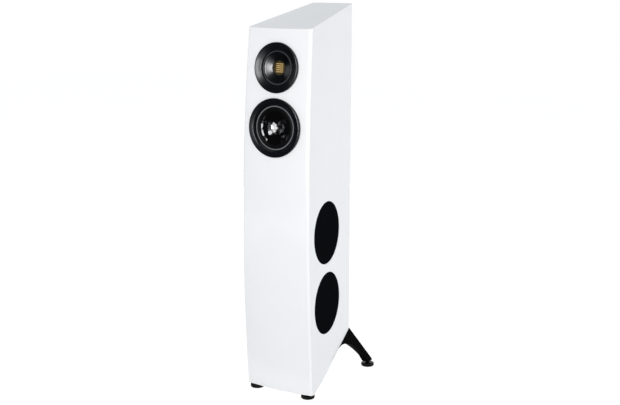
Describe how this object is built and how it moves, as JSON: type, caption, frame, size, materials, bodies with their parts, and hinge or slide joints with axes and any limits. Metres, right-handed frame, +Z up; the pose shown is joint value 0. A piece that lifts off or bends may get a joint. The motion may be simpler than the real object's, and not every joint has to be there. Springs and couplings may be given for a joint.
{
  "type": "floorstanding loudspeaker",
  "caption": "Tapered floorstanding loudspeaker with a bowed front, ribbon tweeter, midrange cone and side-firing woofers, on screw feet and arched rear legs.",
  "frame": {"origin": "on the floor, at the centre of the overall footprint of cabinet, legs and feet", "axes": "+Z up, -Y the way the front faces, +X to the right for someone looking at the front"},
  "size_m": [0.2724, 0.4062, 1.17],
  "materials": {
    "white_lacquer": "fibreboard under smooth white gloss lacquer",
    "fibreboard": "raw fibreboard",
    "wadding": "loose pale wadding",
    "satin_black": "satin black",
    "gloss_black": "gloss black",
    "gilt_plate": "dark gilt",
    "ribbon_foil": "gold-coloured foil",
    "ferrite": "grey ferrite and steel",
    "black_casting": "cast, black painted",
    "surround_rubber": "matte",
    "treated_cloth": "resin-treated cloth",
    "woofer_cone": "woven fibre, satin black",
    "facet_cone": "glossy black with small facets",
    "grille_cloth": "fine black cloth",
    "moulded_black": "fine-grained black",
    "post_brass": "gold plated",
    "leg_black": "cast, satin black powder coat",
    "foot_black": "turned steel, satin black",
    "circuit": "green board with dark parts"
  },
  "bodies": {
    "cabinet": {"back_panel": "white_lacquer", "binding_post_left": "post_brass", "binding_post_right": "post_brass", "bottom_panel": "white_lacquer", "chamber_shelf": "fibreboard", "chamber_wadding": "wadding", "crossover_board": "circuit", "front_baffle": "white_lacquer", "grille_lower_left": "grille_cloth", "grille_lower_right": "grille_cloth", "grille_upper_left": "grille_cloth", "grille_upper_right": "grille_cloth", "midrange_basket": "black_casting", "midrange_magnet": "ferrite", "midrange_spider": "treated_cloth", "midrange_surround": "surround_rubber", "midrange_trim_ring": "satin_black", "rear_leg_left": "leg_black", "rear_leg_right": "leg_black", "reflex_port": "moulded_black", "ribbon_plate": "gilt_plate", "side_panel_left": "white_lacquer", "side_panel_right": "white_lacquer", "terminal_plate": "moulded_black", "top_panel": "white_lacquer", "tweeter_horn": "gloss_black", "tweeter_magnet": "ferrite", "tweeter_ribbon": "ribbon_foil", "tweeter_trim_ring": "satin_black", "window_brace": "fibreboard", "woofer_lower_left_basket": "black_casting", "woofer_lower_left_magnet": "ferrite", "woofer_lower_left_spider": "treated_cloth", "woofer_lower_left_surround": "surround_rubber", "woofer_lower_right_basket": "black_casting", "woofer_lower_right_magnet": "ferrite", "woofer_lower_right_spider": "treated_cloth", "woofer_lower_right_surround": "surround_rubber", "woofer_upper_left_basket": "black_casting", "woofer_upper_left_magnet": "ferrite", "woofer_upper_left_spider": "treated_cloth", "woofer_upper_left_surround": "surround_rubber", "woofer_upper_right_basket": "black_casting", "woofer_upper_right_magnet": "ferrite", "woofer_upper_right_spider": "treated_cloth", "woofer_upper_right_surround": "surround_rubber"},
    "woofer_upper_left_cone": {"woofer_upper_left_cone": "woofer_cone"},
    "woofer_upper_right_cone": {"woofer_upper_right_cone": "woofer_cone"},
    "woofer_lower_left_cone": {"woofer_lower_left_cone": "woofer_cone"},
    "woofer_lower_right_cone": {"woofer_lower_right_cone": "woofer_cone"},
    "midrange_cone": {"midrange_cone": "facet_cone"},
    "front_foot_left": {"front_foot_left": "foot_black"},
    "front_foot_right": {"front_foot_right": "foot_black"},
    "rear_foot_left": {"rear_foot_left": "foot_black"},
    "rear_foot_right": {"rear_foot_right": "foot_black"},
    "post_cap_left": {"post_cap_left": "post_brass"},
    "post_cap_right": {"post_cap_right": "post_brass"}
  },
  "joints": [
    {"name": "woofer_upper_left_stroke", "type": "slide", "parent": "cabinet", "child": "woofer_upper_left_cone", "axis": [-0.9924, 0.1226, 0.0061], "range_m": [-0.005, 0.005], "stiffness_N_per_m": 1200, "deforming": ["woofer_upper_left_surround", "woofer_upper_left_spider"]},
    {"name": "woofer_upper_right_stroke", "type": "slide", "parent": "cabinet", "child": "woofer_upper_right_cone", "axis": [0.9924, 0.1226, 0.0061], "range_m": [-0.005, 0.005], "stiffness_N_per_m": 1200, "deforming": ["woofer_upper_right_surround", "woofer_upper_right_spider"]},
    {"name": "woofer_lower_left_stroke", "type": "slide", "parent": "cabinet", "child": "woofer_lower_left_cone", "axis": [-0.9924, 0.1226, 0.0061], "range_m": [-0.005, 0.005], "stiffness_N_per_m": 1200, "deforming": ["woofer_lower_left_surround", "woofer_lower_left_spider"]},
    {"name": "woofer_lower_right_stroke", "type": "slide", "parent": "cabinet", "child": "woofer_lower_right_cone", "axis": [0.9924, 0.1226, 0.0061], "range_m": [-0.005, 0.005], "stiffness_N_per_m": 1200, "deforming": ["woofer_lower_right_surround", "woofer_lower_right_spider"]},
    {"name": "midrange_stroke", "type": "slide", "parent": "cabinet", "child": "midrange_cone", "axis": [0, -0.9983, 0.0577], "range_m": [-0.004, 0.004], "stiffness_N_per_m": 2000, "deforming": ["midrange_surround", "midrange_spider"]},
    {"name": "front_foot_left_height", "type": "slide", "parent": "cabinet", "child": "front_foot_left", "axis": [0, 0, -1], "range_m": [0, 0.006]},
    {"name": "front_foot_right_height", "type": "slide", "parent": "cabinet", "child": "front_foot_right", "axis": [0, 0, -1], "range_m": [0, 0.006]},
    {"name": "rear_foot_left_height", "type": "slide", "parent": "cabinet", "child": "rear_foot_left", "axis": [0, 0, -1], "range_m": [0, 0.006]},
    {"name": "rear_foot_right_height", "type": "slide", "parent": "cabinet", "child": "rear_foot_right", "axis": [0, 0, -1], "range_m": [0, 0.006]},
    {"name": "post_cap_left_travel", "type": "slide", "parent": "cabinet", "child": "post_cap_left", "axis": [0, 0.9998, -0.02], "range_m": [0, 0.006]},
    {"name": "post_cap_right_travel", "type": "slide", "parent": "cabinet", "child": "post_cap_right", "axis": [0, 0.9998, -0.02], "range_m": [0, 0.006]}
  ]
}
